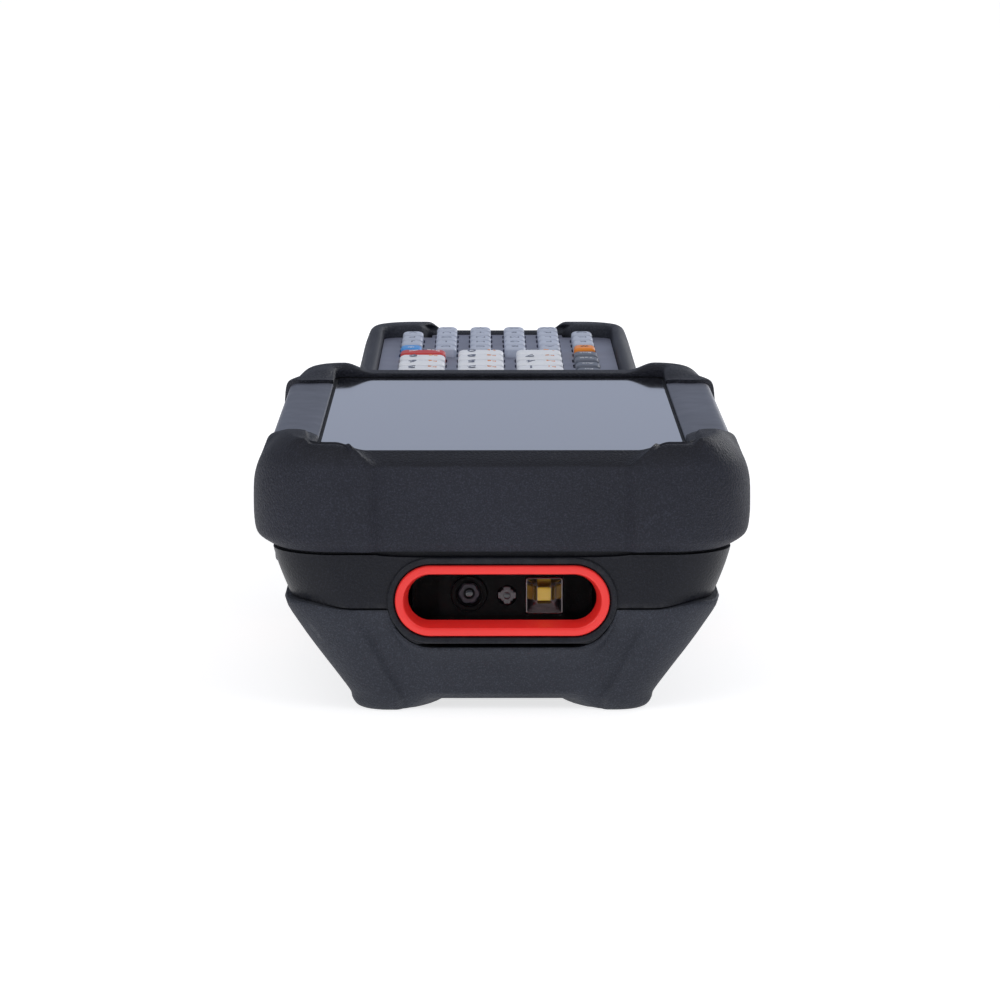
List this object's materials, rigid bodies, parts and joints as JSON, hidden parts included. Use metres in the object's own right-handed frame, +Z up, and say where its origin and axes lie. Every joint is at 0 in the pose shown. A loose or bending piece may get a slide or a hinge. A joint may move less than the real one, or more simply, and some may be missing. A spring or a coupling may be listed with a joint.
{
  "type": "rugged handheld mobile computer",
  "caption": "Rugged handheld data terminal with a touch display, bumpered head, nose-mounted code imager in a red bezel, and a keypad handle.",
  "frame": {"origin": "centre of the bounding box's underside, on the surface that the part rests on", "axes": "+Z up out of the display, +Y from the scanning nose along the handle, +X to the right as seen from the nose looking along +Y"},
  "size_m": [0.083, 0.235, 0.0461],
  "materials": {
    "rubber": "fine matte grain",
    "rail_plastic": "satin",
    "shell_plastic": "satin",
    "grip_rubber": "fine matte grain",
    "plate_plastic": "satin",
    "board": "solder mask",
    "display_glass": "polished",
    "gasket_foam": "matte",
    "panel": "polished",
    "frame_metal": "cast, bead blasted",
    "red_bezel": "satin",
    "window_clear": "polished",
    "engine_black": "matte",
    "lens_dark": "polished",
    "lens_clear": "polished",
    "reflector": "vapour metallised",
    "led_yellow": "resin",
    "battery_plastic": "fine texture",
    "latch_plastic": "satin",
    "screw_steel": "zinc plated",
    "insert_brass": "machined",
    "trigger_orange": "matte",
    "rocker_dark": "matte",
    "key_white": "matte coated silicone",
    "key_red": "matte coated silicone",
    "key_dark": "matte coated silicone",
    "key_grey": "matte coated silicone",
    "key_blue": "matte coated silicone",
    "key_orange": "matte coated silicone"
  },
  "bodies": {
    "root": {"nose_bumper": "rubber", "rear_bumper": "rubber", "left_rail": "rail_plastic", "right_rail": "rail_plastic", "head_shell": "shell_plastic", "lower_cover": "grip_rubber", "keypad_frame": "grip_rubber", "keypad_plate": "plate_plastic", "keypad_board": "board", "main_board": "board", "touch_glass": "display_glass", "display_gasket": "gasket_foam", "lcd_module": "panel", "chassis_frame": "frame_metal", "scan_bezel": "red_bezel", "scan_window": "window_clear", "engine_housing": "engine_black", "rear_camera": "engine_black", "speaker": "engine_black", "dock_connector": "engine_black", "imager_lens": "lens_dark", "aimer_lens": "lens_clear", "illuminator": "reflector", "illuminator_led": "led_yellow", "case_screws": "screw_steel", "strap_inserts": "insert_brass"},
    "key_1": {"key_1": "key_red"},
    "key_2": {"key_2": "key_white"},
    "key_3": {"key_3": "key_white"},
    "key_4": {"key_4": "key_white"},
    "key_5": {"key_5": "key_white"},
    "key_6": {"key_6": "key_white"},
    "key_7": {"key_7": "key_white"},
    "key_8": {"key_8": "key_white"},
    "key_9": {"key_9": "key_white"},
    "key_10": {"key_10": "key_white"},
    "key_11": {"key_11": "key_white"},
    "key_12": {"key_12": "key_white"},
    "side_key_1": {"side_key_1": "key_dark"},
    "side_key_2": {"side_key_2": "key_dark"},
    "side_key_3": {"side_key_3": "key_dark"},
    "side_key_4": {"side_key_4": "key_dark"},
    "letter_row_1": {"letter_row_1": "key_grey"},
    "letter_row_2": {"letter_row_2": "key_grey"},
    "letter_row_3": {"letter_row_3": "key_grey"},
    "letter_row_4": {"letter_row_4": "key_grey"},
    "letter_row_5": {"letter_row_5": "key_grey"},
    "blue_key": {"blue_key": "key_blue"},
    "orange_key": {"orange_key": "key_orange"},
    "scan_key": {"scan_key": "key_orange"},
    "up_key": {"up_key": "key_dark"},
    "down_key": {"down_key": "key_dark"},
    "left_key": {"left_key": "key_dark"},
    "right_key": {"right_key": "key_dark"},
    "power_key": {"power_key": "key_red"},
    "left_trigger": {"left_trigger": "trigger_orange"},
    "right_trigger": {"right_trigger": "trigger_orange"},
    "volume_rocker": {"volume_rocker": "rocker_dark"},
    "battery_pack": {"battery_pack": "battery_plastic"},
    "battery_latch": {"battery_latch": "latch_plastic"}
  },
  "joints": [
    {"name": "key_1_press", "type": "slide", "parent": "root", "child": "key_1", "axis": [0, 0, -1], "range_m": [0, 0.0008], "stiffness_N_per_m": 400},
    {"name": "key_2_press", "type": "slide", "parent": "root", "child": "key_2", "axis": [0, 0, -1], "range_m": [0, 0.0008], "stiffness_N_per_m": 400},
    {"name": "key_3_press", "type": "slide", "parent": "root", "child": "key_3", "axis": [0, 0, -1], "range_m": [0, 0.0008], "stiffness_N_per_m": 400},
    {"name": "key_4_press", "type": "slide", "parent": "root", "child": "key_4", "axis": [0, 0, -1], "range_m": [0, 0.0008], "stiffness_N_per_m": 400},
    {"name": "key_5_press", "type": "slide", "parent": "root", "child": "key_5", "axis": [0, 0, -1], "range_m": [0, 0.0008], "stiffness_N_per_m": 400},
    {"name": "key_6_press", "type": "slide", "parent": "root", "child": "key_6", "axis": [0, 0, -1], "range_m": [0, 0.0008], "stiffness_N_per_m": 400},
    {"name": "key_7_press", "type": "slide", "parent": "root", "child": "key_7", "axis": [0, 0, -1], "range_m": [0, 0.0008], "stiffness_N_per_m": 400},
    {"name": "key_8_press", "type": "slide", "parent": "root", "child": "key_8", "axis": [0, 0, -1], "range_m": [0, 0.0008], "stiffness_N_per_m": 400},
    {"name": "key_9_press", "type": "slide", "parent": "root", "child": "key_9", "axis": [0, 0, -1], "range_m": [0, 0.0008], "stiffness_N_per_m": 400},
    {"name": "key_10_press", "type": "slide", "parent": "root", "child": "key_10", "axis": [0, 0, -1], "range_m": [0, 0.0008], "stiffness_N_per_m": 400},
    {"name": "key_11_press", "type": "slide", "parent": "root", "child": "key_11", "axis": [0, 0, -1], "range_m": [0, 0.0008], "stiffness_N_per_m": 400},
    {"name": "key_12_press", "type": "slide", "parent": "root", "child": "key_12", "axis": [0, 0, -1], "range_m": [0, 0.0008], "stiffness_N_per_m": 400},
    {"name": "side_key_1_press", "type": "slide", "parent": "root", "child": "side_key_1", "axis": [0, 0, -1], "range_m": [0, 0.0008], "stiffness_N_per_m": 400},
    {"name": "side_key_2_press", "type": "slide", "parent": "root", "child": "side_key_2", "axis": [0, 0, -1], "range_m": [0, 0.0008], "stiffness_N_per_m": 400},
    {"name": "side_key_3_press", "type": "slide", "parent": "root", "child": "side_key_3", "axis": [0, 0, -1], "range_m": [0, 0.0008], "stiffness_N_per_m": 400},
    {"name": "side_key_4_press", "type": "slide", "parent": "root", "child": "side_key_4", "axis": [0, 0, -1], "range_m": [0, 0.0008], "stiffness_N_per_m": 400},
    {"name": "letter_row_1_press", "type": "slide", "parent": "root", "child": "letter_row_1", "axis": [0, 0, -1], "range_m": [0, 0.0008], "stiffness_N_per_m": 1200},
    {"name": "letter_row_2_press", "type": "slide", "parent": "root", "child": "letter_row_2", "axis": [0, 0, -1], "range_m": [0, 0.0008], "stiffness_N_per_m": 1200},
    {"name": "letter_row_3_press", "type": "slide", "parent": "root", "child": "letter_row_3", "axis": [0, 0, -1], "range_m": [0, 0.0008], "stiffness_N_per_m": 1200},
    {"name": "letter_row_4_press", "type": "slide", "parent": "root", "child": "letter_row_4", "axis": [0, 0, -1], "range_m": [0, 0.0008], "stiffness_N_per_m": 1200},
    {"name": "letter_row_5_press", "type": "slide", "parent": "root", "child": "letter_row_5", "axis": [0, 0, -1], "range_m": [0, 0.0008], "stiffness_N_per_m": 1200},
    {"name": "blue_key_press", "type": "slide", "parent": "root", "child": "blue_key", "axis": [0, 0, -1], "range_m": [0, 0.0008], "stiffness_N_per_m": 400},
    {"name": "orange_key_press", "type": "slide", "parent": "root", "child": "orange_key", "axis": [0, 0, -1], "range_m": [0, 0.0008], "stiffness_N_per_m": 400},
    {"name": "scan_key_press", "type": "slide", "parent": "root", "child": "scan_key", "axis": [0, 0, -1], "range_m": [0, 0.0008], "stiffness_N_per_m": 400},
    {"name": "up_key_press", "type": "slide", "parent": "root", "child": "up_key", "axis": [0, 0, -1], "range_m": [0, 0.0008], "stiffness_N_per_m": 400},
    {"name": "down_key_press", "type": "slide", "parent": "root", "child": "down_key", "axis": [0, 0, -1], "range_m": [0, 0.0008], "stiffness_N_per_m": 400},
    {"name": "left_key_press", "type": "slide", "parent": "root", "child": "left_key", "axis": [0, 0, -1], "range_m": [0, 0.0008], "stiffness_N_per_m": 400},
    {"name": "right_key_press", "type": "slide", "parent": "root", "child": "right_key", "axis": [0, 0, -1], "range_m": [0, 0.0008], "stiffness_N_per_m": 400},
    {"name": "power_key_press", "type": "slide", "parent": "root", "child": "power_key", "axis": [0, 0, -1], "range_m": [0, 0.0008], "stiffness_N_per_m": 400},
    {"name": "left_trigger_press", "type": "slide", "parent": "root", "child": "left_trigger", "axis": [1, 0, 0], "range_m": [0, 0.001], "stiffness_N_per_m": 900},
    {"name": "right_trigger_press", "type": "slide", "parent": "root", "child": "right_trigger", "axis": [-1, 0, 0], "range_m": [0, 0.001], "stiffness_N_per_m": 900},
    {"name": "volume_rock", "type": "hinge", "parent": "root", "child": "volume_rocker", "pos_m": [-0.0359, -0.0725, 0.0231], "axis": [0, 0, 1], "range_deg": [-3, 3], "stiffness_Nm_per_rad": 0.15},
    {"name": "battery_release", "type": "slide", "parent": "root", "child": "battery_pack", "axis": [0, 0, -1], "range_m": [0, 0.03]},
    {"name": "latch_slide", "type": "slide", "parent": "root", "child": "battery_latch", "axis": [0, 1, 0], "range_m": [0, 0.0024], "stiffness_N_per_m": 300}
  ]
}
